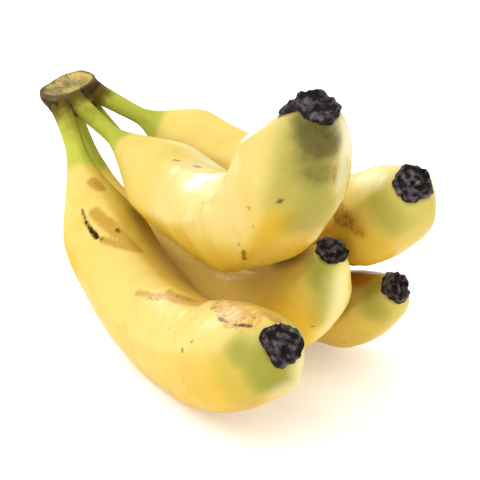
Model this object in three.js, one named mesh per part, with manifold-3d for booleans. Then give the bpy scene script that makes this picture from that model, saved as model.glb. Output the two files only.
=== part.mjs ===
// A hand of five bananas: five ripe fingers that grow from one cut crown.
// Millimetres, +Z up. The hand lies on the outer curves of its three lower fingers,
// with two more fingers on top, and its crown held up in the air by their stalks.
// The origin is on the table under the middle of the hand.
import * as THREE from "three";
import { mergeVertices } from "three/addons/utils/BufferGeometryUtils.js";
import Module from "manifold-3d";

const wasm = await Module();
wasm.setup();

// Driving dimensions of a finger: a thin stalk that widens into a ridged, curved body
const AROUND = 20;              // facets round a finger, four to each of its five sides
const RIDGES = 5;
const STALK_RADIUS = 3.9;
const NECK_LEAD = 0.05;         // share of the body's length by which the stalk widens early
const NECK_FULLNESS = 0.9;
const TAPER_FULLNESS = 0.8;
const ROOT_FLARE = 1.6;         // extra radius of the stalk where it leaves the crown
const ROOT_FLARE_LENGTH = 5;
const BODY_ANGULAR = 0.5;       // how five-sided a body is, 0 for round
const STALK_ANGULAR = 0.2;
const CENTRE_STEPS = 140;       // straight steps along a centre line

// Each finger: where it leaves the crown, which way it sets out (heading round +Z from +X, pitch
// up), the roll of its plane of bending, its bends and twist in degrees, and its sizes.
// bendEarly is above 0 where the body bends more near its stalk. neck is the share of the body
// over which the stalk widens, and taperFrom the share where it begins to narrow to endRadius,
// that of the blunt end with the dried flower.
const FINGERS = [
  { name: "front", root: [-76.5, 42.5, 46.5], heading: -55, pitch: -42.5, roll: -10.5,
    stalkBend: -23, bodyBend: 96.5, bendEarly: 1.1, twist: -2.5, stalk: 30, body: 178,
    radius: 17.7, neck: 0.28, taperFrom: 0.69, taperPower: 3.7, ridgeAt: 0, endRadius: 6.1 },
  { name: "top", root: [-72.5, 45, 47], heading: -38, pitch: -26.5, roll: -75,
    stalkBend: 1, bodyBend: 94.5, bendEarly: 0.1, twist: -88, stalk: 36, body: 168,
    radius: 16.7, neck: 0.25, taperFrom: 0.87, taperPower: 1.15, ridgeAt: 0, endRadius: 6.1 },
  { name: "back", root: [-68, 62, 48.5], heading: -6.5, pitch: -24.5, roll: -97,
    stalkBend: 6, bodyBend: 93, bendEarly: 0.65, twist: -67.5, stalk: 35, body: 177.5,
    radius: 16, neck: 0.16, taperFrom: 0.73, taperPower: 2.7, ridgeAt: 0, endRadius: 6.1 },
  { name: "middle", root: [-76, 58.5, 45.5], heading: 1.5, pitch: -70.5, roll: -53.5,
    stalkBend: 19, bodyBend: 118, bendEarly: 0.15, twist: 6.5, stalk: 35.5, body: 179,
    radius: 15.6, neck: 0.49, taperFrom: 0.79, taperPower: 1.55, ridgeAt: 8, endRadius: 5 },
  { name: "right", root: [-72.5, 68, 45], heading: -4, pitch: -47, roll: -69.5,
    stalkBend: -0.5, bodyBend: 106.5, bendEarly: 0.15, twist: -23.5, stalk: 36.5, body: 174.5,
    radius: 15.3, neck: 0.3, taperFrom: 0.74, taperPower: 1.95, ridgeAt: 0, endRadius: 5.2 },
];

// The crown: a slab with a flat cut face, and a short root for each stalk
const CROWN_FACE = [-74, 55.5, 50.5];
const CROWN_HEADING = 69;       // of the cut face's long axis, in degrees round +Z from +X
const CROWN_RISE = 13;          // of that axis, towards the back
const CROWN_TILT = 4;           // of the face about that axis
const CROWN_LENGTH = 34;
const CROWN_WIDTH = 17;
// Heights from the cut face and scales of the slab's outlines
const CROWN_RINGS = [[2, 0.97], [0, 0.97], [-1.2, 1], [-3.5, 0.97], [-6, 0.84], [-8.5, 0.6]];
const CROWN_AROUND = 30;
const CROWN_SQUARENESS = 2.4;
const ROOT_LENGTH = 11;         // a finger's stalk takes over from its root here
const ROOT_SINK = 5;

// The dried flower end: a five-lobed stub with a rim round a sunken face and a button.
// The profile's steps are distances past the finger's end and scales of its radius.
const FLOWER_AROUND = 20;
const FLOWER_LOBES = 5;
const FLOWER_LOBE_DEPTH = 0.08;
const FLOWER_PROFILE = [
  [0, 0.95], [1.2, 1], [2.6, 0.94], [3.8, 0.78], [4.3, 0.62], [3.5, 0.48], [3.6, 0.32], [4.4, 0.2],
];

const JOINT_GAP = 0.3;          // clear space between pieces that touch
const FLOOR = -40.5;            // the table's height before the hand is set on the origin
const TABLE_SPAN = 400;

const PEEL = { color: 0xe6c84f, roughness: 0.45, metalness: 0 };
const CROWN_SKIN = { color: 0x9c8440, roughness: 0.8, metalness: 0 };
const DRIED_FLOWER = { color: 0x2d2624, roughness: 0.9, metalness: 0 };

const clamp01 = (x) => Math.min(1, Math.max(0, x));

function smoothstep(x) {
  const t = clamp01(x);
  return t * t * (3 - 2 * t);
}

// A finger's frame at its root: forward along the stalk, and normal, the way it bends
function rootFrame(finger) {
  const heading = THREE.MathUtils.degToRad(finger.heading);
  const pitch = THREE.MathUtils.degToRad(finger.pitch);
  const roll = THREE.MathUtils.degToRad(finger.roll);
  const forward = new THREE.Vector3(
    Math.cos(pitch) * Math.cos(heading), Math.cos(pitch) * Math.sin(heading), Math.sin(pitch));
  const side = new THREE.Vector3(-Math.sin(heading), Math.cos(heading), 0);
  const upward = forward.clone().cross(side);
  const normal = upward.multiplyScalar(Math.cos(roll)).addScaledVector(side, Math.sin(roll));
  return { point: new THREE.Vector3(...finger.root), forward, normal };
}

// How far a finger has bent, in degrees, at a distance along it
function bendAt(finger, along) {
  const onStalk = Math.min(1, along / finger.stalk);
  const share = Math.max(0, (along - finger.stalk) / finger.body);
  const early = (finger.bendEarly * share * (1 - share)) / 2;
  return finger.stalkBend * onStalk + finger.bodyBend * (share + early);
}

// The centre line as a list of frames, one a step, from the root to the finger's end
function centreLine(finger) {
  const step = (finger.stalk + finger.body) / CENTRE_STEPS;
  const twist = THREE.MathUtils.degToRad(finger.twist) / CENTRE_STEPS;
  const frame = rootFrame(finger);
  const frames = [];
  for (let i = 0; i <= CENTRE_STEPS; i += 1) {
    const along = i * step;
    const across = frame.forward.clone().cross(frame.normal);
    frames.push({
      along, point: frame.point.clone(), forward: frame.forward.clone(),
      normal: frame.normal.clone(), across,
    });
    const bend = THREE.MathUtils.degToRad(bendAt(finger, along + step) - bendAt(finger, along));
    frame.point.addScaledVector(frame.forward, step);
    frame.forward.applyAxisAngle(across, bend);
    frame.normal.applyAxisAngle(across, bend);
    frame.normal.applyAxisAngle(frame.forward, twist);
  }
  return frames;
}

// Radius of a finger at a distance along it
function radiusAt(finger, along) {
  const share = (along - finger.stalk) / finger.body;
  const widening = smoothstep((share + NECK_LEAD) / finger.neck) ** NECK_FULLNESS;
  const fromStalk = STALK_RADIUS + (finger.radius - STALK_RADIUS) * widening;
  const taper = clamp01((share - finger.taperFrom) / (1 - finger.taperFrom));
  const fullness = (1 - taper ** finger.taperPower) ** TAPER_FULLNESS;
  const toEnd = finger.endRadius + (finger.radius - finger.endRadius) * fullness;
  return Math.min(fromStalk, toEnd) + ROOT_FLARE * Math.exp(-along / ROOT_FLARE_LENGTH);
}

// Radius factor of a five-sided section: above 1 on a ridge, below 1 on a flat side
function sideFactor(finger, along, angle) {
  const sector = (2 * Math.PI) / RIDGES;
  const phase = THREE.MathUtils.degToRad(finger.ridgeAt);
  const offset = THREE.MathUtils.euclideanModulo(angle - phase, sector) - sector / 2;
  const inner = Math.cos(sector / 2);
  const polygon = inner / Math.cos(offset);
  const middle = (1 + inner) / 2;
  const share = clamp01((along - finger.stalk) / (finger.body * finger.neck));
  const angular = STALK_ANGULAR + (BODY_ANGULAR - STALK_ANGULAR) * share;
  return 1 + angular * (polygon - middle);
}

// Distances along a finger where its rings stand: closer at the neck and the blunt end
function stations(finger, from) {
  const length = finger.stalk + finger.body;
  const neckEnd = finger.stalk + finger.body * finger.neck;
  const bands = [
    [from, finger.stalk, 5],
    [finger.stalk, neckEnd, 5.5],
    [neckEnd, length - 40, 9],
    [length - 40, length - 8, 5],
    [length - 8, length - 2, 2],
  ];
  const list = bands.flatMap(([start, end, spacing]) => {
    const count = Math.max(1, Math.round((end - start) / spacing));
    return Array.from({ length: count }, (_, i) => start + ((end - start) * i) / count);
  });
  return [...list, length - 2, length - 1, length];
}

// A closed geometry from rings of equal size, each a list of points, with flat ends
function loft(rings) {
  const around = rings[0].length;
  const positions = rings.flat().flatMap((p) => [p.x, p.y, p.z]);
  const ends = [rings[0], rings[rings.length - 1]];
  ends.forEach((ring) => {
    const middle = ring.reduce((sum, p) => sum.add(p), new THREE.Vector3());
    middle.divideScalar(around);
    positions.push(middle.x, middle.y, middle.z);
  });
  const startMiddle = rings.length * around;
  const endMiddle = startMiddle + 1;
  const last = (rings.length - 1) * around;
  const index = [];
  for (let i = 0; i < around; i += 1) {
    const j = (i + 1) % around;
    for (let row = 0; row < last; row += around) {
      index.push(row + i, row + j, row + around + j);
      index.push(row + i, row + around + j, row + around + i);
    }
    index.push(startMiddle, j, i);
    index.push(endMiddle, last + i, last + j);
  }
  const geometry = new THREE.BufferGeometry();
  geometry.setAttribute("position", new THREE.Float32BufferAttribute(positions, 3));
  geometry.setIndex(index);
  return geometry;
}

// One ring of points round a frame, its radius given by a function of the angle
function ring(frame, around, radiusOf) {
  return Array.from({ length: around }, (_, i) => {
    const angle = (i / around) * 2 * Math.PI;
    const radius = radiusOf(angle);
    return frame.point.clone()
      .addScaledVector(frame.normal, radius * Math.cos(angle))
      .addScaledVector(frame.across, radius * Math.sin(angle));
  });
}

function frameNear(frames, along) {
  const step = frames[1].along;
  return frames[Math.min(frames.length - 1, Math.round(along / step))];
}

function fingerGeometry(finger, frames) {
  const standing = stations(finger, ROOT_LENGTH).map((along) => frameNear(frames, along));
  const first = standing[0];
  const clear = first.point.clone().addScaledVector(first.forward, JOINT_GAP);
  standing[0] = { ...first, point: clear };
  return loft(standing.map((frame) => ring(frame, AROUND, (angle) =>
    radiusAt(finger, frame.along) * sideFactor(finger, frame.along, angle))));
}

// The root of a stalk in the crown: it starts inside the slab and widens towards it
function rootGeometry(finger, frames) {
  const first = frames[0];
  const sunk = { ...first, point: first.point.clone().addScaledVector(first.forward, -ROOT_SINK) };
  const rootEnd = frameNear(frames, ROOT_LENGTH).along;
  const standing = frames.filter((frame) => frame.along <= rootEnd);
  const sparse = standing.filter((_, i) => i % 3 === 0 || i === standing.length - 1);
  const rings = [sunk, ...sparse].map((frame) => ring(frame, AROUND / 2, () =>
    radiusAt(finger, frame.along)));
  return loft(rings);
}

// Axes of the crown: along it, across it, and out of its cut face
function crownAxes() {
  const axes = new THREE.Matrix4().makeRotationZ(THREE.MathUtils.degToRad(CROWN_HEADING));
  axes.multiply(new THREE.Matrix4().makeRotationY(THREE.MathUtils.degToRad(-CROWN_RISE)));
  axes.multiply(new THREE.Matrix4().makeRotationX(THREE.MathUtils.degToRad(CROWN_TILT)));
  return axes;
}

function crownSlab() {
  const rings = CROWN_RINGS.map(([height, scale]) =>
    Array.from({ length: CROWN_AROUND }, (_, i) => {
      const angle = (i / CROWN_AROUND) * 2 * Math.PI;
      const power = 2 / CROWN_SQUARENESS;
      const x = Math.sign(Math.cos(angle)) * Math.abs(Math.cos(angle)) ** power;
      const y = Math.sign(Math.sin(angle)) * Math.abs(Math.sin(angle)) ** power;
      const wave = 1 + 0.03 * Math.sin(3 * angle + 0.6) + 0.02 * Math.sin(7 * angle);
      return new THREE.Vector3(
        (x * CROWN_LENGTH * scale * wave) / 2, (y * CROWN_WIDTH * scale * wave) / 2, height);
    }));
  return placed(loft(rings.reverse()), crownAxes(), CROWN_FACE);
}

// Everything above the crown's cut face
function aboveCrown() {
  const box = new THREE.BoxGeometry(60, 60, 20);
  box.translate(0, 0, 10);
  return placed(box, crownAxes(), CROWN_FACE);
}

function placed(geometry, axes, at) {
  geometry.applyMatrix4(axes);
  geometry.translate(...at);
  return geometry;
}

function flowerGeometry(finger, frames) {
  const end = frames[frames.length - 1];
  const rings = FLOWER_PROFILE.map(([height, scale]) => {
    const frame = { ...end, point: end.point.clone().addScaledVector(end.forward, JOINT_GAP + height) };
    return ring(frame, FLOWER_AROUND, (angle) => {
      const lobe = 1 + FLOWER_LOBE_DEPTH * Math.cos(FLOWER_LOBES * angle);
      return finger.endRadius * scale * lobe;
    });
  });
  return loft(rings);
}

// Solids for cutting and joining, and the way back to a geometry
function toSolid(geometry) {
  const bare = geometry.clone();
  bare.deleteAttribute("normal");
  bare.deleteAttribute("uv");
  const merged = mergeVertices(bare, 1e-4);
  const mesh = new wasm.Mesh({
    numProp: 3,
    vertProperties: new Float32Array(merged.attributes.position.array),
    triVerts: new Uint32Array(merged.index.array),
  });
  return new wasm.Manifold(mesh);
}

function toGeometry(solid) {
  const mesh = solid.getMesh();
  const geometry = new THREE.BufferGeometry();
  geometry.setAttribute("position", new THREE.Float32BufferAttribute(mesh.vertProperties, 3));
  geometry.setIndex(Array.from(mesh.triVerts));
  geometry.computeVertexNormals();
  return geometry;
}

// The table top as a block, which leaves a small flat where a finger rests on it
function table() {
  const block = new THREE.BoxGeometry(TABLE_SPAN, TABLE_SPAN, TABLE_SPAN);
  block.translate(0, 0, FLOOR - TABLE_SPAN / 2);
  return toSolid(block);
}

function addPiece(group, name, geometry, look) {
  const mesh = new THREE.Mesh(geometry, new THREE.MeshStandardMaterial(look));
  mesh.name = name;
  group.add(mesh);
}

function buildHand() {
  const group = new THREE.Group();
  const ground = table();
  let crown = toSolid(crownSlab());
  FINGERS.forEach((finger) => {
    const frames = centreLine(finger);
    crown = crown.add(toSolid(rootGeometry(finger, frames)));
    const body = toSolid(fingerGeometry(finger, frames)).subtract(ground);
    addPiece(group, `finger_${finger.name}`, toGeometry(body), PEEL);
    addPiece(group, `flower_end_${finger.name}`, flowerGeometry(finger, frames), DRIED_FLOWER);
  });
  crown = crown.subtract(toSolid(aboveCrown()));
  addPiece(group, "crown", toGeometry(crown), CROWN_SKIN);
  return group;
}

// Stand the hand on the origin: the middle of its box, at the table's height
function setOnOrigin(group) {
  group.updateMatrixWorld(true);
  const box = new THREE.Box3().setFromObject(group, true);
  const middle = box.getCenter(new THREE.Vector3());
  group.position.set(-middle.x, -middle.y, -box.min.z);
  return group;
}

export default setOnOrigin(buildHand());
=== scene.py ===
import math

import bmesh
import bpy
import numpy as np
from mathutils import Matrix, Vector
from mathutils.kdtree import KDTree


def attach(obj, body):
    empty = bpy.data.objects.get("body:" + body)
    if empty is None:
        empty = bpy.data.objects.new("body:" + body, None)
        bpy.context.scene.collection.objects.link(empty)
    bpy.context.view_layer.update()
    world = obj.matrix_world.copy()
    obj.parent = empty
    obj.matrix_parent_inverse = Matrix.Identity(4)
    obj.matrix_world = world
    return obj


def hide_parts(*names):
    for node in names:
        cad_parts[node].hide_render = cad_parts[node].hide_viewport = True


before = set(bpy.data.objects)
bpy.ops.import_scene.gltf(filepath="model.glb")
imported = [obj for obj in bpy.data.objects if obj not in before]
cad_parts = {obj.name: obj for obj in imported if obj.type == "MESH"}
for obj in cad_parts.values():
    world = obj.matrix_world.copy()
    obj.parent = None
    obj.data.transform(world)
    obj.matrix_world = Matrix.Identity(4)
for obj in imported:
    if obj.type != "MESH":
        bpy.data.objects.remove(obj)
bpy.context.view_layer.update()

MM = 0.001
# From the fingers' frame to the table's: the offset that sets the solids on their origin
HAND_PLACE = np.array([11.914, 19.131, 40.5])

# Driving dimensions, the same as the solids have
RIDGES = 5
STALK_RADIUS = 3.9
NECK_LEAD = 0.05
NECK_FULLNESS = 0.9
TAPER_FULLNESS = 0.8
ROOT_FLARE = 1.6
ROOT_FLARE_LENGTH = 5.0
BODY_ANGULAR = 0.5
STALK_ANGULAR = 0.2
RIDGE_ROUNDING = 3.5                  # degrees of turn
CENTRE_STEPS = 140
ROOT_LENGTH = 10.5
ROOT_SINK = 5.0
# A crown's root swells round its stalk. The swelling ends, and the root thins, over these bands,
# each a start and a length.
ROOT_SWELL = 0.5
SWELL_ENDS = (1, 6)
ROOT_THINS = (5, 5)

# Each finger's values repeat those of the solids. Nearly all were found by search programs, which
# fitted the fingers to their outlines in the photograph, near assumed sizes, and then rounded.
FINGERS = {
    "front": dict(root=(-76.5, 42.5, 46.5), heading=-55, pitch=-42.5, roll=-10.5, stalk_bend=-23,
                  body_bend=96.5, bend_early=1.1, twist=-2.5, stalk=30, body=178, radius=17.7,
                  neck=0.28, taper_from=0.69, taper_power=3.7, ridge_at=0, end_radius=6.1),
    "top": dict(root=(-72.5, 45, 47), heading=-38, pitch=-26.5, roll=-75, stalk_bend=1,
                body_bend=94.5, bend_early=0.1, twist=-88, stalk=36, body=168, radius=16.7,
                neck=0.25, taper_from=0.87, taper_power=1.15, ridge_at=0, end_radius=6.1),
    "back": dict(root=(-68, 62, 48.5), heading=-6.5, pitch=-24.5, roll=-97, stalk_bend=6,
                 body_bend=93, bend_early=0.65, twist=-67.5, stalk=35, body=177.5, radius=16,
                 neck=0.16, taper_from=0.73, taper_power=2.7, ridge_at=0, end_radius=6.1),
    "middle": dict(root=(-76, 58.5, 45.5), heading=1.5, pitch=-70.5, roll=-53.5, stalk_bend=19,
                   body_bend=118, bend_early=0.15, twist=6.5, stalk=35.5, body=179, radius=15.6,
                   neck=0.49, taper_from=0.79, taper_power=1.55, ridge_at=8, end_radius=5),
    "right": dict(root=(-72.5, 68, 45), heading=-4, pitch=-47, roll=-69.5, stalk_bend=-0.5,
                  body_bend=106.5, bend_early=0.15, twist=-23.5, stalk=36.5, body=174.5,
                  radius=15.3, neck=0.3, taper_from=0.74, taper_power=1.95, ridge_at=0,
                  end_radius=5.2),
}

# The crown's place, tilt, length, width and squareness were found by a search too
CROWN_FACE = np.array([-74, 55.5, 50.5])
CROWN_HEADING = 69
CROWN_RISE = 13
CROWN_TILT = 4
CROWN_LENGTH = 34.0
CROWN_WIDTH = 17.0
CROWN_SQUARENESS = 2.4
# The outline's size without its waves, and the waves: how many go round, phase and height
CROWN_EVEN = 0.995
CROWN_WAVES = [(3, 0.6, 0.028), (7, 0.0, 0.02)]
# Heights over the cut face, and shares of the crown's length and width there
CROWN_RINGS = [(4, 0.96), (0, 0.97), (-1.2, 0.985), (-3.2, 0.96), (-5.5, 0.84), (-8.5, 0.6)]

# Resolution of the fine meshes
RINGS_ALONG = 210
POINTS_AROUND = 100
FLOWER_AROUND = 96
CLOUD_ALONG = 200
CLOUD_AROUND = 100
CROWN_AROUND = 72
ROOT_RINGS = 24
ROOT_AROUND = 40
CROWN_VOXEL = 0.6
CROWN_FINE_VOXEL = 0.45

# The skin of a finger. A relief is the size of its lumps and its height.
FIRST_RING = 4.0
CLOSING_LENGTH = 14
CLOSING_RINGS = 26
SKIN_SINK = 0.3
BROAD_DENTS = (22, 0.22)
SMALL_DENTS = (8, 0.08)
SCAR_RELIEF = (3, 0.25)
CALM_AT_END = 12
CALM_AT_STALK = (6, 20)
RIDGE_WIDTH = 6.0

# The dried flower ends
FLOWER_SEED = 40
SKIRT_SINK = 0.2
SKIRT_LIFT = 0.5
SKIRT_SPREAD = 0.7
SKIRT_RISE = 1.5
SKIRT_LIGHT = 0.25
SKIRT_RIPPLES = [(RIDGES, 0.16), (11, 0.12)]
WIDEST_EDGE = 1.02
CRUMPLE_SIZES = (5.0, 2.6, 2.2)
CRUMPLE_HEIGHTS = (0.35, 0.4)
CRUMPLE_SPREADS = (0.35, 0.25)
FLECKS = (2.6, 0.45)

# The crown's cut face and bark
FACE_DIP = 0.35
FACE_BAND = (-0.7, 0.5)
FACE_RIM = 0.93
RIM_FADE = 0.25
FACE_RELIEF = (5, 0.12)
BARK_RELIEF = (3.5, 0.15)
BARK_STRETCH = np.array([1, 1, 0.6])
CROWN_OUTWARD = np.array([1, 2, 0])             # out of the oval side, from its middle

# A lump field is a sum of waves, divided to lie between about -1 and 1
LUMP_WAVES = 14
LUMP_DIVISOR = 3.7
SHORTEST_WAVE = 0.7
LONGEST_WAVE = 1.6


def smooth(x):
    t = np.clip(x, 0, 1)
    return t * t * (3 - 2 * t)


def fade(x, band):
    """0 up to the band's start, then rising smoothly to 1 over its length."""
    start, length = band
    return smooth((x - start) / length)


def lumps(points, size, seed):
    """A smooth random field between about -1 and 1 with lumps of the given size."""
    random = np.random.default_rng(seed)
    directions = random.normal(size=(LUMP_WAVES, 3))
    directions /= np.linalg.norm(directions, axis=1)[:, None]
    lengths = size * random.uniform(SHORTEST_WAVE, LONGEST_WAVE, LUMP_WAVES)
    waves = directions * (2 * math.pi / lengths)[:, None]
    phases = random.uniform(0, 2 * math.pi, LUMP_WAVES)
    return np.sin(points @ waves.T + phases).sum(-1) / LUMP_DIVISOR


def relief(points, kind, seed):
    """Lumps of one kind, a pair of their size and height."""
    size, height = kind
    return height * lumps(points, size, seed)


# The fingers' shape

def bend_at(f, along):
    """How far a finger has turned, in degrees, at a distance along it."""
    on_stalk = np.minimum(1, along / f["stalk"])
    share = np.maximum(0, (along - f["stalk"]) / f["body"])
    early = f["bend_early"] * share * (1 - share) / 2
    return f["stalk_bend"] * on_stalk + f["body_bend"] * (share + early)


def turned(vector, axis, angle):
    return np.array(Matrix.Rotation(angle, 3, Vector(axis)) @ Vector(vector))


def centre_line(f):
    """Distances along a finger, with the point, forward, normal and across there."""
    heading, pitch, roll = (math.radians(f[k]) for k in ("heading", "pitch", "roll"))
    forward = np.array([math.cos(pitch) * math.cos(heading),
                        math.cos(pitch) * math.sin(heading), math.sin(pitch)])
    side = np.array([-math.sin(heading), math.cos(heading), 0.0])
    normal = np.cross(forward, side) * math.cos(roll) + side * math.sin(roll)
    point = np.array(f["root"], float)
    step = (f["stalk"] + f["body"]) / CENTRE_STEPS
    twist = math.radians(f["twist"]) / CENTRE_STEPS
    rows = []
    for i in range(CENTRE_STEPS + 1):
        along = i * step
        across = np.cross(forward, normal)
        rows.append(np.concatenate([[along], point, forward, normal, across]))
        bend = math.radians(float(bend_at(f, along + step) - bend_at(f, along)))
        point = point + forward * step
        forward, normal = turned(forward, across, bend), turned(normal, across, bend)
        normal = turned(normal, forward, twist)
    return np.array(rows)


def frames_at(line, along):
    """The centre line's frames at any distances, and past its end straight on."""
    inside = np.clip(along, 0, line[-1, 0])
    got = np.stack([np.interp(inside, line[:, 0], line[:, c]) for c in range(1, 13)], -1)
    point, forward, normal, across = np.split(got, 4, axis=-1)
    point = point + forward * (np.asarray(along) - inside)[..., None]
    return point, forward, normal, across


def radius_at(f, along):
    """A finger's radius: it widens from its stalk, tapers to its end and flares at its root."""
    share = (along - f["stalk"]) / f["body"]
    widening = smooth((share + NECK_LEAD) / f["neck"]) ** NECK_FULLNESS
    from_stalk = STALK_RADIUS + (f["radius"] - STALK_RADIUS) * widening
    taper = np.clip((share - f["taper_from"]) / (1 - f["taper_from"]), 0, 1)
    fullness = (1 - taper ** f["taper_power"]) ** TAPER_FULLNESS
    to_end = f["end_radius"] + (f["radius"] - f["end_radius"]) * fullness
    flare = ROOT_FLARE * np.exp(-np.maximum(along, 0) / ROOT_FLARE_LENGTH)
    return np.minimum(from_stalk, to_end) + flare


DEGREES = np.arange(360)


def five_sided():
    """The five-sided outline with its corners rounded off, for each degree of a turn."""
    sector = 360 / RIDGES
    offset = np.radians(np.mod(DEGREES, sector) - sector / 2)
    inner = math.cos(math.radians(sector / 2))
    polygon = inner / np.cos(offset) - (1 + inner) / 2
    spread = np.exp(-0.5 * (np.minimum(DEGREES, 360 - DEGREES) / RIDGE_ROUNDING) ** 2)
    return np.real(np.fft.ifft(np.fft.fft(polygon) * np.fft.fft(spread / spread.sum())))


FIVE_SIDED = five_sided()


def side_factor(f, along, angle):
    """The five soft sides, as a factor on the radius. They fade towards the stalk."""
    turn = np.mod(np.degrees(angle) - f["ridge_at"], 360)
    polygon = np.interp(turn, np.append(DEGREES, 360), np.append(FIVE_SIDED, FIVE_SIDED[0]))
    share = np.clip((along - f["stalk"]) / (f["body"] * f["neck"]), 0, 1)
    return 1 + (STALK_ANGULAR + (BODY_ANGULAR - STALK_ANGULAR) * share) * polygon


def on_surface(f, line, along, angle, lift=0.0):
    """Points on a finger's skin."""
    along, angle = np.broadcast_arrays(np.asarray(along, float), np.asarray(angle, float))
    point, _, normal, across = frames_at(line, along)
    radius = (radius_at(f, np.minimum(along, line[-1, 0])) * side_factor(f, along, angle) + lift)
    outward = np.cos(angle)[..., None] * normal + np.sin(angle)[..., None] * across
    return point + radius[..., None] * outward


def above_table(points):
    """Lifts what would sink into the table up to it."""
    out = points.copy()
    height = out[..., 2] + HAND_PLACE[2]
    out[..., 2] += np.maximum(0, -height)
    return out


# Meshes

def new_object(name, points, faces):
    """A smooth object in the scene from points in millimetres in the fingers' frame."""
    mesh = bpy.data.meshes.new(name)
    places = (np.asarray(points).reshape(-1, 3) + HAND_PLACE) * MM
    mesh.from_pydata(places.tolist(), [], faces)
    mesh.update()
    piece = bpy.data.objects.new(name, mesh)
    bpy.context.scene.collection.objects.link(piece)
    mesh.shade_smooth()
    return piece


def tube_faces(rows, around, first=0):
    """Quads of a tube of rings, closed by a fan at each end round two more points."""
    faces = []
    for r in range(rows - 1):
        for i in range(around):
            j = (i + 1) % around
            a = first + r * around
            faces.append((a + i, a + j, a + around + j, a + around + i))
    start = first + rows * around
    last = first + (rows - 1) * around
    for i in range(around):
        j = (i + 1) % around
        faces.append((start, first + j, first + i))
        faces.append((start + 1, last + i, last + j))
    return faces


def tube_points(grid):
    """A tube's rings of points, and the middle of its first and last ring."""
    ends = np.stack([grid[0].mean(0), grid[-1].mean(0)])
    return np.concatenate([grid.reshape(-1, 3), ends])


def set_field(piece, name, values):
    """Stores one number per point. The middles of a tube's ends take the last one."""
    values = np.asarray(values, np.float32).ravel()
    missing = len(piece.data.vertices) - len(values)
    values = np.append(values, np.full(missing, values[-1]))
    field = piece.data.attributes.new(name, "FLOAT", "POINT")
    field.data.foreach_set("value", values.astype(np.float32))


def outward_normals(piece):
    normals = np.empty(len(piece.data.vertices) * 3)
    piece.data.vertex_normals.foreach_get("vector", normals)
    return normals.reshape(-1, 3)


# Marks on the skin. Each runs from one place to another, a place being a distance along the
# finger and an angle round it in degrees, and has a radius in millimetres and a strength.
# The soft kinds are tints of the peel, but the painted shade marks are painted shade where the
# fingers shade each other, and the pale marks are partly paler peel and partly painted highlights and
# rim light. The others are bruises, scratches and a corky scar, but a few brown and tan marks are
# painted shade.
# Places were picked in the photograph and turned into distances and angles by a script.
MARK_KINDS = ("olive", "green", "painted_shade", "pale_and_painted_highlight", "tan", "brown", "black", "scar")
SOFT_KINDS = ("olive", "green", "painted_shade", "pale_and_painted_highlight")
MARK_STOPS = 6
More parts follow.
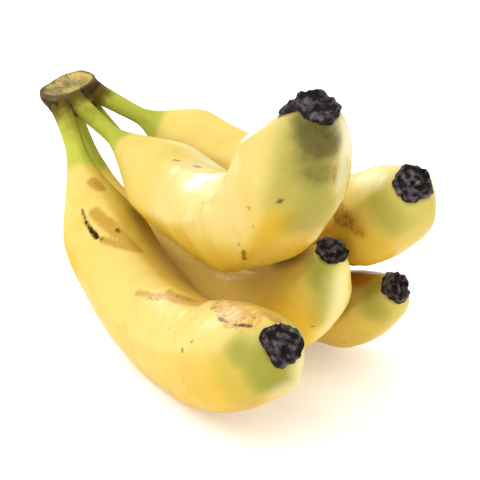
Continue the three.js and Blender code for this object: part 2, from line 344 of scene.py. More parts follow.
# Where a mark ends, in widths. It fades over its last width. A soft mark's width is a share of its
# radius, and any other mark's is its radius and a blur in millimetres.
SOFT_REACH = 1.15
SOFT_WIDTH = 1.5
HARD_REACH = 1.4
HARD_BLUR = 0.4
MARKS = {
    "front": [
        ("black", (55, 37), (62, 36), 0.7, 0.75), ("black", (63, 36), (68, 35), 0.9, 0.85),
        ("black", (69, 34), (74, 31), 1.1, 0.95), ("black", (74, 30), (77, 26), 0.7, 0.6),
        ("tan", (60, 20), (69, 14), 2.6, 0.9), ("tan", (69, 12), (78, 6), 2.8, 0.9),
        ("tan", (78, 5), (92, 356), 2.4, 0.9), ("tan", (77, 26), (90, 2), 1.6, 0.9),
        ("brown", (76, 5), (77, 4), 0.9, 0.8), ("tan", (43, 357), (46, 354), 3.0, 1.0),
        ("brown", (44, 356), (45, 355), 1.2, 0.45), ("tan", (134, 10), (163, 5), 2.4, 0.9),
        ("brown", (140, 6), (158, 5), 0.6, 0.7), ("tan", (118, 30), (134, 14), 1.4, 0.8),
        ("pale_and_painted_highlight", (125, 20), (140, 12), 1.2, 0.9), ("brown", (126, 28), (136, 18), 0.4, 0.7),
        ("scar", (184, 2), (196, 18), 5.0, 0.95), ("scar", (177, 4), (190, 12), 3.6, 0.8),
        ("scar", (196, 18), (203, 28), 3.4, 0.85), ("scar", (202, 10), (206, 345), 2.0, 0.6),
        ("brown", (178, 16), (182, 10), 0.6, 0.75), ("brown", (188, 29), (194, 33), 0.5, 0.85),
        ("black", (198, 36), (201, 35), 0.5, 0.85), ("brown", (201, 35), (204, 32), 0.5, 0.8),
        ("brown", (150, 42), (160, 49), 0.35, 0.8), ("brown", (176, 68), (177, 70), 0.5, 0.9),
        ("brown", (181, 60), (182, 60), 0.4, 0.8), ("brown", (160, 62), (165, 66), 0.3, 0.7),
        ("green", (207, 110), (204, 160), 7.0, 1.0), ("green", (203, 80), (206, 100), 5.5, 0.9),
        ("green", (198, 100), (194, 150), 6.0, 0.3),
        # Painted light and shade: rim light along the lower right edge, shade on the upper face under
        # the top finger and on one side near the end
        ("pale_and_painted_highlight", (206, 225), (188, 215), 4.0, 0.9), ("pale_and_painted_highlight", (199, 190), (184, 200), 5.0, 0.55),
        ("painted_shade", (48, 335), (90, 338), 8.0, 0.2), ("painted_shade", (90, 338), (160, 342), 8.0, 0.5),
        ("painted_shade", (175, 110), (192, 125), 8.0, 0.7),
    ],
    "top": [
        ("black", (199.5, 80), (203, 77), 1.2, 1.0),
        ("black", (203.5, 160), (202.5, 200), 1.3, 0.45), ("black", (200, 185), (199, 190), 0.9, 0.4),
        ("tan", (196, 214), (191, 213), 0.8, 0.5), ("brown", (195, 214), (191, 213), 0.6, 0.5),
        ("olive", (204, 165), (201, 190), 6.0, 1.0), ("olive", (199, 182), (195, 188), 6.0, 0.6),
        ("green", (203, 140), (186, 165), 6.0, 0.6), ("green", (192, 190), (178, 190), 7.0, 0.8),
        # Painted rim light along the right edge
        ("pale_and_painted_highlight", (202, 250), (190, 240), 5.0, 1.0), ("pale_and_painted_highlight", (190, 238), (165, 215), 3.0, 0.6),
        ("brown", (79, 347), (82, 345), 0.6, 0.8), ("brown", (92, 345), (96, 343), 0.6, 0.8),
        ("brown", (136, 57), (136.5, 58), 0.4, 0.9), ("brown", (184, 155), (185, 158), 0.7, 0.9),
        ("brown", (151, 146), (156, 141), 0.9, 0.8), ("brown", (156, 132), (157, 133), 0.5, 0.8),
        ("brown", (175, 128), (176, 129), 0.5, 0.7), ("brown", (171, 140), (172, 140), 0.4, 0.7),
        # Painted light and shade: a highlight along the upper edge, shade along the lower side, and a
        # soft highlight beside the bright streak
        ("pale_and_painted_highlight", (60, 298), (88, 302), 4.0, 0.7),
        ("painted_shade", (107, 117), (135, 129), 8.0, 0.8), ("painted_shade", (135, 135), (150, 160), 8.0, 0.8),
        ("pale_and_painted_highlight", (105, 10), (125, 40), 8.0, 0.35),
    ],
    "back": [
        ("brown", (183, 60), (190, 80), 4.5, 0.62), ("brown", (190, 92), (192, 104), 2.5, 0.5),
        ("tan", (184, 62), (192, 90), 6.0, 0.7),
        # Painted shade next to the top finger
        ("painted_shade", (186, 74), (196, 74), 9.0, 0.7), ("painted_shade", (150, 60), (180, 66), 8.0, 0.6),
        ("pale_and_painted_highlight", (209, 340), (196, 10), 6.0, 0.6), ("green", (208, 80), (206, 130), 5.5, 0.5),
        ("brown", (43, 40), (43.5, 41), 0.8, 0.9),
    ],
    "middle": [
        ("green", (213, 110), (208, 145), 5.0, 1.0), ("green", (207, 145), (196, 158), 5.0, 0.75),
        # Painted shade under the top finger: the shade marks, and the broad brown band along the top
        ("pale_and_painted_highlight", (209, 182), (184, 180), 5.5, 0.6), ("painted_shade", (203, 60), (186, 75), 9.0, 0.9),
        ("painted_shade", (186, 70), (120, 10), 10.0, 0.45), ("painted_shade", (192, 115), (178, 120), 8.0, 0.7),
        ("brown", (191.5, 141), (192, 142), 0.5, 0.9), ("brown", (110, 5), (150, 358), 6.0, 0.35),
    ],
    "right": [
        # Painted shade on the top facet, under the fingers above, in a shade mark and a tan one
        ("painted_shade", (193, 5), (204, 8), 5.0, 1.0), ("tan", (192, 10), (202, 5), 5.0, 1.0),
        ("green", (209, 60), (206, 100), 5.5, 0.8), ("brown", (178, 129), (178.5, 130), 0.5, 0.8),
        # Painted shade on the upper side
        ("painted_shade", (175, 60), (195, 60), 7.0, 0.4),
    ],
}

# How far past the stalk the lime green reaches, how far from its end a tip is green, and how
# green each tip is
GREEN_FADE = 6.0
GREEN_TIP = 30.0
# The edges of both greens waver: the size of the waves, and how far they move each edge
GREEN_WAVES = 16
NECK_WAVER = 1.5
TIP_WAVER = 6
TIP_GREEN = {"front": 0.15, "top": 0.3, "back": 0.7, "middle": 0.5, "right": 0.55}
PAINTED_LIGHT_FROM = np.array([-0.42, -0.40, 0.81])     # the key light's direction: the peel is painted paler on the side facing it and deeper on the side away, as painted light and shade
# Each finger's lift of the painted light, which makes it paler, a factor on its colour, and that
# factor on its stalk. The factors are partly painted light: the middle finger, which lies in the
# others' shade, is painted lightest.
PAINTED_LIGHT_LIFT = {"front": 0.0, "top": 0.05, "back": 0.1, "middle": 0.2, "right": 0.35}
BRIGHT = {"front": 0.85, "top": 0.81, "back": 0.90, "middle": 1.12, "right": 0.94}
NECK_BRIGHT = {"front": 1.0, "top": 0.84, "back": 0.90, "middle": 1.0, "right": 1.0}
# How waxy each finger is, from a distance along it over a fade
DULL_LENGTH = 75.0
DULL_FADE = 15.0
WAXY = {"front": 0.07, "top": 0.24, "back": 0.06, "middle": 0.05, "right": 0.05}


def distance_to(points, start, end):
    """Distance from points to the straight line between two points."""
    line = end - start
    share = np.clip((points - start) @ line / max(line @ line, 1e-9), 0, 1)
    return np.linalg.norm(points - start - share[..., None] * line, axis=-1)


def mark_field(f, line, grid, marks):
    """1 inside the marks, falling to 0 over about their radius."""
    field = np.zeros(grid.shape[:2])
    for kind, start, end, radius, strength in marks:
        stops = np.linspace(0, 1, MARK_STOPS)
        along = start[0] + (end[0] - start[0]) * stops
        turn = (end[1] - start[1] + 180) % 360 - 180
        angle = np.radians(start[1] + turn * stops)
        path = on_surface(f, line, along, angle)
        near = np.min([distance_to(grid, a, b) for a, b in zip(path[:-1], path[1:])], axis=0)
        if kind in SOFT_KINDS:
            inside = smooth(SOFT_REACH - near / (SOFT_WIDTH * radius))
        else:
            inside = smooth(HARD_REACH - near / (radius + HARD_BLUR))
        field = np.maximum(field, strength * inside)
    return field


# The gap to another finger from which the peel is painted darker, as painted shade between the
# fingers, the gap over which it does, and how far before a finger's end its skin stops counting
CLOSE = 5.0
CLOSE_FADE = 0.8 * CLOSE
CLOUD_STOP = 2


def skin_cloud(f):
    """Points all over a finger's skin, about a millimetre apart."""
    line = centre_line(f)
    along = np.linspace(f["stalk"], line[-1, 0] - CLOUD_STOP, CLOUD_ALONG)[:, None]
    angle = np.linspace(0, 2 * math.pi, CLOUD_AROUND, endpoint=False)[None]
    return on_surface(f, line, along, angle).reshape(-1, 3)


def closeness(name, grid):
    """1 where a finger's skin all but touches another finger, and 0 from CLOSE on."""
    others = np.concatenate([skin_cloud(f) for k, f in FINGERS.items() if k != name])
    tree = KDTree(len(others))
    for i, point in enumerate(others):
        tree.insert(point, i)
    tree.balance()
    gap = np.array([tree.find(point)[2] for point in grid.reshape(-1, 3)])
    return smooth((CLOSE - gap) / CLOSE_FADE)


# How the peel closes in past its last ring: distances and shares of that ring
PEEL_END = [(0.18, 0.96), (0.28, 0.9), (0.3, 0.8), (0.2, 0.6)]


def finger_piece(name, f):
    line = centre_line(f)
    length = line[-1, 0]
    even = np.linspace(FIRST_RING, length - CLOSING_LENGTH, RINGS_ALONG - CLOSING_RINGS)
    quarter_turn = np.linspace(0, math.pi / 2, CLOSING_RINGS + 1)[1:]
    closing = length - CLOSING_LENGTH * (1 - np.sin(quarter_turn))
    along = np.concatenate([even, closing])[:, None]
    angle = np.linspace(0, 2 * math.pi, POINTS_AROUND, endpoint=False)[None]
    flat = on_surface(f, line, along, angle)
    calm = smooth((length - along) / CALM_AT_END) * fade(along, CALM_AT_STALK)
    seed = sum(map(ord, name))
    dents = relief(flat, BROAD_DENTS, seed) + relief(flat, SMALL_DENTS, seed + 1)
    corky = mark_field(f, line, flat, [mark for mark in MARKS[name] if mark[0] == "scar"])
    lift = (dents - SKIN_SINK) * calm + corky * np.abs(relief(flat, SCAR_RELIEF, seed + 3))
    skin = on_surface(f, line, along, angle, lift)
    along = np.append(along, np.full(len(PEEL_END), length))[:, None]
    point, forward, _, _ = frames_at(line, np.array(length))
    end = [point + (skin[-1] - point) * share + forward * height for height, share in PEEL_END]
    grid = above_table(np.concatenate([skin, end]))
    piece = new_object(f"banana_{name}", tube_points(grid), tube_faces(len(along), POINTS_AROUND))
    along, angle = np.broadcast_arrays(along, angle)
    wave = lumps(grid, GREEN_WAVES, seed + 2)
    neck = 1 - smooth((along - f["stalk"] + 1 + NECK_WAVER * wave) / GREEN_FADE)
    tip = GREEN_TIP - (length - along) + TIP_WAVER * wave
    tip = TIP_GREEN[name] * smooth(tip / GREEN_TIP)
    set_field(piece, "along", along)
    set_field(piece, "neck_green", neck)
    set_field(piece, "tip_green", tip)
    half = 180 / RIDGES
    from_ridge = np.mod(np.degrees(angle) - f["ridge_at"] + half, 2 * half) - half
    set_field(piece, "ridge", np.exp(-0.5 * (from_ridge / RIDGE_WIDTH) ** 2))
    # Painted light and shade: how far each point faces the key light, lifted for each finger
    set_field(piece, "painted_light", outward_normals(piece) @ PAINTED_LIGHT_FROM + PAINTED_LIGHT_LIFT[name])
    set_field(piece, "bright", BRIGHT[name] + (NECK_BRIGHT[name] - BRIGHT[name]) * neck)
    set_field(piece, "waxy", WAXY[name] * smooth((along - DULL_LENGTH) / DULL_FADE))
    set_field(piece, "contact_shade", closeness(name, grid))
    for kind in MARK_KINDS:
        marks = [mark for mark in MARKS[name] if mark[0] == kind]
        set_field(piece, kind, mark_field(f, line, grid, marks))
    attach(piece, "root")
    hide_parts(f"finger_{name}")
    return piece


# Profile of a dried flower end past the finger's end: distances, shares of its own radius and how
# light it is painted there, lighter on the rings' crests and darker in the grooves, as painted
# highlight and painted shade. Its dry leaves lie in rings round a sunken middle.
FLOWER_RINGS = [(0.9, 1.0, 0.1), (1.7, 1.0, 0.3), (2.3, 0.96, 0.5), (2.4, 0.89, 0.5),
                (2.1, 0.82, 0.3), (1.8, 0.75, 0.1), (1.8, 0.68, 0.2), (2.0, 0.61, 0.4),
                (2.0, 0.54, 0.4), (1.8, 0.47, 0.2), (1.7, 0.4, 0.2), (1.8, 0.33, 0.3),
                (2.1, 0.26, 0.5), (2.1, 0.19, 0.4), (1.9, 0.12, 0.2), (1.8, 0.05, 0.1)]
SKIRT_RINGS = 8
# Size as a share of the finger's end, sideways shift in millimetres, height as a share of the
# profile's, and where dry skin reaches over the peel: angle, width and length
FLOWERS = {
    "front": (0.84, (0.0, -0.3), 1.0, [(35, 22, 2.4), (150, 20, 0.6), (300, 24, 1.4)]),
    "top": (0.84, (0.0, 0.9), 0.95, [(80, 15, 5.5), (330, 40, 1.4)]),
    "back": (0.88, (0.6, -0.2), 1.0, [(20, 40, 0.4)]),
    "middle": (0.92, (0.0, -1.3), 0.8, []),
    "right": (0.86, (0.4, -0.8), 0.9, [(330, 30, 0.6), (180, 24, 1.4)]),
}


def flower_reach(name, angle, seed):
    """How far the dry skin reaches over the peel, all round."""
    reach = (FLOWERS[name][0] - 1) * FINGERS[name]["end_radius"]
    for count, height in SKIRT_RIPPLES:
        reach = reach + height * np.sin(count * angle + seed)
    for centre, width, length in FLOWERS[name][3]:
        away = (np.degrees(angle) - centre + 180) % 360 - 180
        reach = reach + length * np.exp(-0.5 * (away / width) ** 2)
    return reach


def flower_piece(name, f):
    line = centre_line(f)
    length = line[-1, 0]
    seed = FLOWER_SEED + sum(map(ord, name))
    _, shift, tall, _ = FLOWERS[name]
    angle = np.linspace(0, 2 * math.pi, FLOWER_AROUND, endpoint=False)
    reach = flower_reach(name, angle, seed)
    point, forward, normal, across = frames_at(line, np.array(length))
    outward = np.cos(angle)[:, None] * normal + np.sin(angle)[:, None] * across
    aside = normal * shift[0] + across * shift[1]
    over, inside = np.maximum(reach, 0), np.minimum(reach, 0)
    rows, light = [], []
    for t in np.linspace(0, 1, SKIRT_RINGS):
        lift = inside - SKIRT_SINK + SKIRT_LIFT * smooth(t * SKIRT_RISE)
        row = on_surface(f, line, length - over * (1 - t), angle, lift)
        rows.append(row + forward * SKIRT_SPREAD * t + aside)
        light.append(SKIRT_LIGHT * t)
    edge = np.linalg.norm(rows[-1] - point - aside, axis=1)
    edge = np.minimum(edge, f["end_radius"] * WIDEST_EDGE)
    for height, share, shade in FLOWER_RINGS:
        rows.append(point + aside + forward * height * tall + outward * (edge * share)[:, None])
        light.append(shade)
    grid = np.stack(rows)
    rough = np.concatenate([smooth(np.linspace(0, 1, SKIRT_RINGS)), np.ones(len(FLOWER_RINGS))])
    swirl = lumps(grid, CRUMPLE_SIZES[0], seed)
    crumple = CRUMPLE_HEIGHTS[0] * np.abs(swirl)
    crumple = crumple + CRUMPLE_HEIGHTS[1] * lumps(grid, CRUMPLE_SIZES[1], seed + 1)
    grid = grid + forward * (crumple * rough[:, None])[..., None]
    spread = CRUMPLE_SPREADS[0] * swirl
    spread = spread + CRUMPLE_SPREADS[1] * lumps(grid, CRUMPLE_SIZES[2], seed + 2)
    grid = grid + outward[None] * (spread * rough[:, None])[..., None]
    piece = new_object(f"dried_flower_{name}", tube_points(grid),
                       tube_faces(len(rows), FLOWER_AROUND))
    # Painted highlight on the rings' crests and painted shade in their grooves, with flecks of the
    # dry leaves' own colour
    set_field(piece, "light", np.array(light)[:, None] + relief(grid, FLECKS, seed + 4))
    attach(piece, "root")
    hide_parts(f"flower_end_{name}")
    return piece


# The crown

def crown_axes():
    turn = Matrix.Rotation(math.radians(CROWN_HEADING), 3, "Z")
    turn = turn @ Matrix.Rotation(math.radians(-CROWN_RISE), 3, "Y")
    return np.array(turn @ Matrix.Rotation(math.radians(CROWN_TILT), 3, "X"))


CROWN_AXES = crown_axes()


def slab_grid():
    """Rings of the crown's head, from below up past its cut face."""
    angle = np.linspace(0, 2 * math.pi, CROWN_AROUND, endpoint=False)
    power = 2 / CROWN_SQUARENESS
    x = np.sign(np.cos(angle)) * np.abs(np.cos(angle)) ** power
    y = np.sign(np.sin(angle)) * np.abs(np.sin(angle)) ** power
    wave = CROWN_EVEN
    for count, phase, height in CROWN_WAVES:
        wave = wave + height * np.sin(count * angle + phase)
    rows = [np.stack([x * CROWN_LENGTH / 2 * s * wave, y * CROWN_WIDTH / 2 * s * wave,
                      np.full_like(x, h)], -1) for h, s in CROWN_RINGS]
    return CROWN_FACE + np.stack(rows[::-1]) @ CROWN_AXES.T


def root_grid(f, line):
    """Rings of the crown's short root round the start of one stalk."""
    along = np.linspace(-ROOT_SINK, ROOT_LENGTH, ROOT_RINGS)
    angle = np.linspace(0, 2 * math.pi, ROOT_AROUND, endpoint=False)
    point, forward, normal, across = frames_at(line, np.maximum(along, 0))
    point = point + forward * np.minimum(along, 0)[:, None]
    radius = radius_at(f, along) + ROOT_SWELL * (1 - fade(along, SWELL_ENDS))
    radius = radius - ROOT_SWELL * fade(along, ROOT_THINS)
    outward = (np.cos(angle)[None, :, None] * normal[:, None]
               + np.sin(angle)[None, :, None] * across[:, None])
    return point[:, None] + outward * radius[:, None, None]


def applied(piece, *modifiers):
    """Adds modifiers, each a type with its settings, and turns their result into the mesh."""
    for kind, settings in modifiers:
        modifier = piece.modifiers.new(kind.lower(), kind)
        for key, value in settings.items():
            setattr(modifier, key, value)
    seen = piece.evaluated_get(bpy.context.evaluated_depsgraph_get())
    mesh = bpy.data.meshes.new_from_object(seen)
    piece.modifiers.clear()
    piece.data = mesh


def joined_crown():
    """The head and its roots melted into one skin."""
    slab = slab_grid()
    points, faces = [tube_points(slab)], tube_faces(len(slab), slab.shape[1])
    for f in FINGERS.values():
        grid = root_grid(f, centre_line(f))
        faces += tube_faces(len(grid), grid.shape[1], sum(map(len, points)))
        points.append(tube_points(grid))
    piece = new_object("cut_crown", np.concatenate(points), faces)
    applied(piece, ("REMESH", dict(mode="VOXEL", voxel_size=CROWN_VOXEL * MM)),
            ("SMOOTH", dict(factor=0.5, iterations=10)))
    return piece


def cut_flat(piece):
    """Cuts the crown off along its face and closes the cut."""
    out = Vector(CROWN_AXES[:, 2])
    at = Vector((CROWN_FACE + HAND_PLACE) * MM)
    shape = bmesh.new()
    shape.from_mesh(piece.data)
    everything = shape.verts[:] + shape.edges[:] + shape.faces[:]
    cut = bmesh.ops.bisect_plane(shape, geom=everything, plane_co=at, plane_no=out,
                                 clear_outer=True)
    edges = [e for e in cut["geom_cut"] if isinstance(e, bmesh.types.BMEdge)]
    bmesh.ops.holes_fill(shape, edges=edges)
    shape.to_mesh(piece.data)
    shape.free()
    applied(piece, ("REMESH", dict(mode="VOXEL", voxel_size=CROWN_FINE_VOXEL * MM)),
            ("SMOOTH", dict(factor=0.5, iterations=2)))
    piece.data.shade_smooth()


def crown_piece():
    piece = joined_crown()
    cut_flat(piece)
    count = len(piece.data.vertices)
    places = np.empty(count * 3)
    piece.data.vertices.foreach_get("co", places)
    points = places.reshape(-1, 3) / MM - HAND_PLACE
    local = (points - CROWN_FACE) @ CROWN_AXES
    lengthwise = np.abs(local[:, 0] / (CROWN_LENGTH / 2))
    crosswise = np.abs(local[:, 1] / (CROWN_WIDTH / 2))
    edge = lengthwise ** CROWN_SQUARENESS + crosswise ** CROWN_SQUARENESS
    edge = edge ** (1 / CROWN_SQUARENESS)
    on_face = fade(local[:, 2], FACE_BAND)
    dip = FACE_DIP * smooth((FACE_RIM - edge) / RIM_FADE) + relief(points, FACE_RELIEF, 3)
    dip = on_face * dip
    wrinkle = (1 - on_face) * relief(points * BARK_STRETCH, BARK_RELIEF, 4)
    points = points - CROWN_AXES[:, 2] * dip[:, None]
    side = local * CROWN_OUTWARD @ CROWN_AXES.T
    side /= np.linalg.norm(side, axis=1)[:, None] + 1e-9
    points = points + side * wrinkle[:, None]
    piece.data.vertices.foreach_set("co", ((points + HAND_PLACE) * MM).ravel())
    set_field(piece, "face", on_face)
    set_field(piece, "edge", edge)
    set_field(piece, "below", -local[:, 2])
    set_field(piece, "gold", local[:, 0] / CROWN_LENGTH + 0.5)
    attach(piece, "root")
    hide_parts("crown")
    return piece


# Materials

class Graph:
    """A material's node tree with short calls for the nodes used here."""

    def __init__(self, name):
        self.material = bpy.data.materials.new(name)
        self.material.use_nodes = True
        self.tree = self.material.node_tree
        self.shader = self.tree.nodes["Principled BSDF"]
        self.place = self.tree.nodes.new("ShaderNodeTexCoord").outputs["Object"]

    def put(self, socket, value):
        if isinstance(value, bpy.types.NodeSocket):
            self.tree.links.new(value, socket)
        else:
            socket.default_value = value

    def field(self, name):
        """A number that is stored on the mesh's points."""
        node = self.tree.nodes.new("ShaderNodeAttribute")
        node.attribute_name = name
        return node.outputs["Fac"]

    def noise(self, size, detail=3.0, rough=0.55, warp=0.0):
        """Noise with features about as large as size, in millimetres."""
        node = self.tree.nodes.new("ShaderNodeTexNoise")
        self.put(node.inputs["Vector"], self.place)
        node.inputs["Scale"].default_value = 1000 / size
        node.inputs["Detail"].default_value = detail
        node.inputs["Roughness"].default_value = rough
        node.inputs["Distortion"].default_value = warp
        return node.outputs["Fac"]

    def math(self, kind, a, b):
        node = self.tree.nodes.new("ShaderNodeMath")
        node.operation = kind
        self.put(node.inputs[0], a)
        self.put(node.inputs[1], b)
        return node.outputs[0]

    def ramp(self, value, low, high, to_low=0.0, to_high=1.0):
        """value carried smoothly from low..high to to_low..to_high."""
        node = self.tree.nodes.new("ShaderNodeMapRange")
        node.interpolation_type = "SMOOTHSTEP"
        self.put(node.inputs["Value"], value)
        for key, number in (("From Min", low), ("From Max", high), ("To Min", to_low),
                            ("To Max", to_high)):
            node.inputs[key].default_value = number
        return node.outputs["Result"]

    def mix(self, share, a, b, kind="MIX"):
        node = self.tree.nodes.new("ShaderNodeMix")
        node.data_type = "RGBA"
        node.blend_type = kind
        self.put(node.inputs["Factor"], share)
        self.put(node.inputs[6], a if isinstance(a, bpy.types.NodeSocket) else (*a, 1))
        self.put(node.inputs[7], b if isinstance(b, bpy.types.NodeSocket) else (*b, 1))
        return node.outputs[2]

    def bump(self, height, strength, depth):
        """Relief of the given depth in millimetres."""
        node = self.tree.nodes.new("ShaderNodeBump")
        node.inputs["Strength"].default_value = strength
        node.inputs["Distance"].default_value = depth * MM
        self.put(node.inputs["Height"], height)
        self.put(self.shader.inputs["Normal"], node.outputs["Normal"])

    def finish(self, colour, roughness, **fixed):
        self.put(self.shader.inputs["Base Color"], colour)
        self.put(self.shader.inputs["Roughness"], roughness)
        for key, value in fixed.items():
            self.shader.inputs[key.replace("_", " ")].default_value = value
        return self.material


YELLOW = (0.73, 0.53, 0.09)
PALE_YELLOW = (0.79, 0.61, 0.17)
DEEP_YELLOW = (0.70, 0.42, 0.022)
GREEN = (0.27, 0.275, 0.036)
CONTACT_SHADE = (0.12, 0.045, 0.006)
LIME = (0.44, 0.46, 0.06)
OLIVE = (0.105, 0.085, 0.006)
PALE_GREEN = (0.50, 0.48, 0.12)
CREAM = (0.88, 0.82, 0.42)
TAN = (0.50, 0.26, 0.03)
BROWN = (0.16, 0.066, 0.003)
DARK_BROWN = (0.03, 0.016, 0.003)
CORK = (0.80, 0.50, 0.13)
CUT_TAN = (0.40, 0.31, 0.07)
CUT_GOLD = (0.60, 0.40, 0.10)
BLACK = (0.007, 0.004, 0.004)
MAUVE = (0.085, 0.068, 0.072)
GREY_FLECK = (0.22, 0.19, 0.18)
LIME_STREAK = (0.55, 0.52, 0.09)
DARK_CORK = (0.62, 0.36, 0.09)
OLD_STALK = (0.11, 0.075, 0.012)
CUT_BROWN = (0.22, 0.16, 0.035)
CUT_RIM = (0.06, 0.04, 0.010)
DARK_BARK = (0.03, 0.017, 0.005)
BARK = (0.07, 0.044, 0.010)
LOW_BARK = (0.12, 0.085, 0.012)


def stalk_colour(g, painted_light=None):
    """Lime with olive clouds and, when given the painted light field, olive painted shade on the side
    away from the key light.
    """
    clouds = g.math("MULTIPLY", g.ramp(g.noise(14, 3), 0.45, 0.75), 0.5)
    if painted_light is not None:
        clouds = g.math("MAXIMUM", clouds, g.ramp(painted_light, 0.45, -0.4, 0.0, 0.85))
    lime = g.mix(clouds, LIME, OLIVE)
    streaks = g.ramp(g.noise(3, 3, 0.6), 0.55, 0.8)
    return g.mix(g.math("MULTIPLY", streaks, 0.2), lime, LIME_STREAK)


def marked(g, colour, kind, tint, size, low, high, share=1.0):
    """colour with one kind of mark on it, its edge broken up by noise of the given size."""
    ragged = g.math("ADD", g.field(kind), g.math("MULTIPLY", g.noise(size, 4, 0.65), 0.9))
    return g.mix(g.ramp(ragged, low, high, 0.0, share), colour, tint)


def ripe_colour(g, medium):
    """Yellow, with painted light and shade: paler on the side towards the key light and deeper away
    from it, deeper still in the painted shade marks, and deeper in random clouds.
    """
    large = g.math("MULTIPLY", g.math("SUBTRACT", g.noise(40, 3), 0.5), 1.2)
    painted_light = g.math("ADD", g.field("painted_light"), large)
    colour = g.mix(g.ramp(painted_light, 0.35, 0.95), YELLOW, PALE_YELLOW)
    shaded = g.ramp(painted_light, 0.45, -0.55)
    painted_shade = g.math("MAXIMUM", shaded, g.math("MULTIPLY", g.field("painted_shade"), 0.95))
    colour = g.mix(painted_shade, colour, DEEP_YELLOW)
    clouds = g.math("MULTIPLY", g.ramp(medium, 0.5, 0.75), 0.2)
    return g.mix(clouds, colour, DEEP_YELLOW)


def tinted(g, colour):
    """Green tips, pale patches that are partly painted highlights and rim light, olive patches, the
    stalk's green with painted shade on its side away from the key light, and the ridges' tan.
    """
    colour = g.mix(g.field("tip_green"), colour, PALE_GREEN)
    colour = g.mix(g.math("MULTIPLY", g.field("green"), 0.85), colour, GREEN)
    colour = g.mix(g.math("MULTIPLY", g.field("pale_and_painted_highlight"), 0.8), colour, CREAM)
    clouded = g.math("ADD", g.field("olive"), g.math("MULTIPLY", g.noise(5, 4, 0.6), 0.7))
    colour = g.mix(g.ramp(clouded, 0.35, 1.3, 0.0, 0.96), colour, OLIVE)
    colour = g.mix(g.field("neck_green"), colour, stalk_colour(g, g.field("painted_light")))
    ridge = g.math("MULTIPLY", g.field("ridge"), g.ramp(g.noise(14, 4), 0.52, 0.72))
    return g.mix(g.math("MULTIPLY", ridge, 0.3), colour, TAN)


def scarred(g, colour, medium, fine):
    """The corky scar, mottled and cracked, with a brown rim here and there."""
    cork = g.math("ADD", g.field("scar"), g.math("MULTIPLY", g.noise(2.5, 4, 0.65), 0.9))
    mottled = g.mix(g.ramp(fine, 0.42, 0.6), CORK, DARK_CORK)
    rim = g.math("MULTIPLY", g.ramp(cork, 0.76, 0.86), g.ramp(medium, 0.4, 0.6))
    colour = g.mix(g.math("MULTIPLY", rim, 0.7), colour, BROWN)
    colour = g.mix(g.ramp(cork, 0.82, 1.0, 0.0, 0.85), colour, mottled)
    crack = g.math("MULTIPLY", g.ramp(g.noise(1.6, 4, 0.7, 1.0), 0.56, 0.64), g.field("scar"))
    return g.mix(g.math("MULTIPLY", crack, 0.6), colour, BROWN)


def peel():
    g = Graph("banana_peel")
    medium = g.noise(9, 3)
    fine = g.noise(2.2, 4, 0.65)
    colour = tinted(g, ripe_colour(g, medium))
    colour = marked(g, colour, "tan", TAN, 2.6, 0.6, 1.4, 0.8)
    colour = scarred(g, colour, medium, fine)
    colour = marked(g, colour, "brown", BROWN, 1.6, 0.75, 1.35)
    colour = marked(g, colour, "black", DARK_BROWN, 1.4, 0.72, 1.4)
    # A factor on each finger's colour, partly painted light: the middle finger, in the others' shade,
    # is painted lightest
    colour = g.mix(1.0, colour, g.field("bright"), "MULTIPLY")
    # Painted shade: dark brown where a finger all but touches another
    colour = g.mix(g.math("MULTIPLY", g.field("contact_shade"), 0.85), colour, CONTACT_SHADE)
    freckle = g.ramp(g.noise(1.5, 2, 0.6), 0.73, 0.80)
    colour = g.mix(g.math("MULTIPLY", freckle, 0.6), colour, BROWN)
    crown_end = g.math("ADD", g.field("along"), g.math("MULTIPLY", g.noise(4, 4), -8.0))
    colour = g.mix(g.ramp(crown_end, 11.0, 3.5), colour, OLD_STALK)
    fuzz = g.math("ADD", fine, g.math("MULTIPLY", g.noise(4, 3), 0.8))
    rough = g.math("ADD", fuzz, g.math("MULTIPLY", g.field("scar"), g.noise(1.2, 4, 0.7)))
    g.bump(rough, 0.22, 0.12)
    waxy = g.field("waxy")
    g.put(g.shader.inputs["Specular IOR Level"], waxy)
    dull = g.ramp(medium, 0.3, 0.7, 0.32, 0.42)
    return g.finish(colour, g.math("SUBTRACT", dull, g.math("MULTIPLY", waxy, 0.35)))


def dried_flower():
    g = Graph("dried_flower")
    wisps = g.math("MULTIPLY", g.noise(1.5, 5, 0.65, 2.0), 1.3)
    # The rings' painted highlight and shade, with wisps of the dry leaves' own colour
    light = g.math("ADD", g.math("MULTIPLY", g.field("light"), 0.55), wisps)
    colour = g.mix(g.ramp(light, 0.66, 1.1), BLACK, MAUVE)
    colour = g.mix(g.ramp(light, 1.1, 1.4), colour, GREY_FLECK)
    g.bump(g.noise(1.2, 5, 0.65, 1.0), 0.8, 0.5)
    return g.finish(colour, g.ramp(wisps, 0.3, 1.0, 0.55, 0.85), Specular_IOR_Level=0.15)


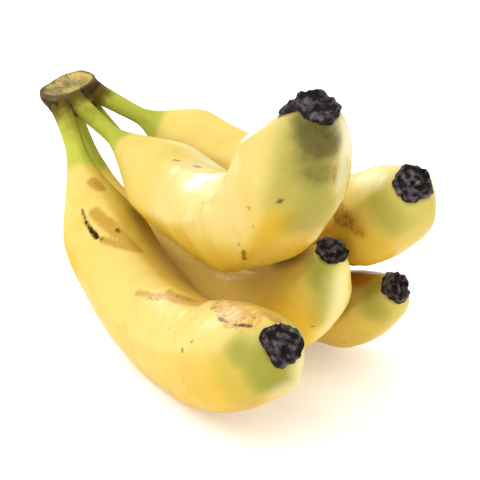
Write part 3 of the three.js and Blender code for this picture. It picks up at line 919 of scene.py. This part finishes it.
def crown_skin():
    g = Graph("cut_crown_skin")
    fibre = g.noise(1.2, 4, 0.6)
    gold = g.ramp(g.math("ADD", g.field("gold"), g.math("MULTIPLY", g.noise(5, 4), 0.8)), 0.9, 1.4)
    cut = g.mix(g.ramp(g.noise(6, 4, 0.6), 0.4, 0.62), CUT_TAN, CUT_BROWN)
    cut = g.mix(gold, cut, CUT_GOLD)
    cut = g.mix(g.math("MULTIPLY", g.ramp(fibre, 0.5, 0.7), 0.6), cut, DARK_BROWN)
    edge = g.math("ADD", g.field("edge"), g.math("MULTIPLY", g.noise(3, 3), 0.16))
    cut = g.mix(g.ramp(edge, 0.84, 1.0, 0.0, 0.9), cut, CUT_RIM)
    side = g.mix(g.ramp(g.noise(4, 4), 0.4, 0.65), DARK_BARK, BARK)
    cloud = g.math("MULTIPLY", g.noise(5, 4, 0.6), -5.0)
    ragged = g.math("ADD", g.field("below"), cloud)
    side = g.mix(g.ramp(ragged, 1.2, 4.2), side, LOW_BARK)
    side = g.mix(g.ramp(ragged, 4.0, 9.5), side, stalk_colour(g))
    colour = g.mix(g.field("face"), side, cut)
    g.bump(g.math("ADD", fibre, g.noise(3, 3)), 0.7, 0.4)
    return g.finish(colour, g.ramp(fibre, 0.3, 0.7, 0.6, 0.8), Specular_IOR_Level=0.12)


def dress(piece, material):
    piece.data.materials.clear()
    piece.data.materials.append(material)


PEEL = peel()
DRIED = dried_flower()
for finger_name, finger in FINGERS.items():
    dress(finger_piece(finger_name, finger), PEEL)
    dress(flower_piece(finger_name, finger), DRIED)
dress(crown_piece(), crown_skin())


# The table, the light and the camera

TABLE_SPAN = 16.0
TABLE_WHITE = 0.93
# How much the table glows, though it is no lamp: the glow lightens the hand's shadow and lights the
# fingers from below
TABLE_GLOW = 0.28
ROOM_LIGHT = 1.05


def table_material():
    """A pale matt table that glows a little, though it is no lamp: the glow lightens the hand's
    shadow on it and lights the fingers from below.
    """
    material = bpy.data.materials.new("pale_table")
    material.use_nodes = True
    inputs = material.node_tree.nodes["Principled BSDF"].inputs
    inputs["Base Color"].default_value = (TABLE_WHITE, TABLE_WHITE, TABLE_WHITE, 1)
    inputs["Roughness"].default_value = 0.7
    inputs["Specular IOR Level"].default_value = 0.2
    inputs["Emission Color"].default_value = (1, 1, 1, 1)
    inputs["Emission Strength"].default_value = TABLE_GLOW
    return material


def table_top():
    mesh = bpy.data.meshes.new("table_top")
    half = TABLE_SPAN / 2
    mesh.from_pydata([(-half, -half, 0), (half, -half, 0), (half, half, 0), (-half, half, 0)],
                     [], [(0, 1, 2, 3)])
    top = bpy.data.objects.new("table_top", mesh)
    bpy.context.scene.collection.objects.link(top)
    dress(top, table_material())


def aimed(name, light, place, target):
    lamp = bpy.data.objects.new(name, light)
    lamp.location = place
    lamp.rotation_euler = (Vector(target) - Vector(place)).to_track_quat("-Z", "Y").to_euler()
    bpy.context.scene.collection.objects.link(lamp)


def strip_light(name, place, target, width, height, watts):
    """A long soft light, whose reflection is the bright streak on the waxy top finger."""
    light = bpy.data.lights.new(name, "AREA")
    light.shape = "RECTANGLE"
    light.energy = watts
    light.size = width
    light.size_y = height
    aimed(name, light, place, target)


def broad_light(name, place, strength, spread):
    """Even light from far away, so the table is as bright behind the hand as in front."""
    light = bpy.data.lights.new(name, "SUN")
    light.energy = strength
    light.angle = math.radians(spread)
    aimed(name, light, place, (0, 0, 0))


def room_light():
    """Even white light from all round, and colours shown as they are."""
    world = bpy.data.worlds.new("studio")
    world.use_nodes = True
    background = world.node_tree.nodes["Background"]
    background.inputs["Color"].default_value = (1, 1, 1, 1)
    background.inputs["Strength"].default_value = ROOM_LIGHT
    bpy.context.scene.world = world
    bpy.context.scene.view_settings.view_transform = "Standard"


table_top()
broad_light("key", place=(-0.45, -0.50, 0.95), strength=1.4, spread=60)
strip_light("window", place=(-0.59, 0.97, 0.46), target=(0, 0, 0.05), width=0.45, height=0.12,
            watts=5)
room_light()

# The view was found by the same searches as the fingers' values
CAMERA_ELEVATION = math.radians(15.5)
CAMERA_ROLL = math.radians(1.75)
CAMERA_DISTANCE = 0.382
CAMERA_LENS = 75.5
SENSOR_WIDTH = 36
NEAREST_SEEN = 0.01


def camera():
    """Looks at the hand's middle from in front and a little above, slightly rolled."""
    forward = Vector((0, math.cos(CAMERA_ELEVATION), -math.sin(CAMERA_ELEVATION)))
    level = Vector((1, 0, 0))
    rise = level.cross(forward)
    right = level * math.cos(CAMERA_ROLL) + rise * math.sin(CAMERA_ROLL)
    up = right.cross(forward)
    data = bpy.data.cameras.new("camera")
    data.lens = CAMERA_LENS
    data.sensor_width = SENSOR_WIDTH
    data.clip_start = NEAREST_SEEN
    eye = bpy.data.objects.new("camera", data)
    place = Vector(HAND_PLACE * MM) - forward * CAMERA_DISTANCE
    turn = Matrix((right, up, -forward)).transposed()
    eye.matrix_world = Matrix.Translation(place) @ turn.to_4x4()
    bpy.context.scene.collection.objects.link(eye)
    bpy.context.scene.camera = eye


camera()
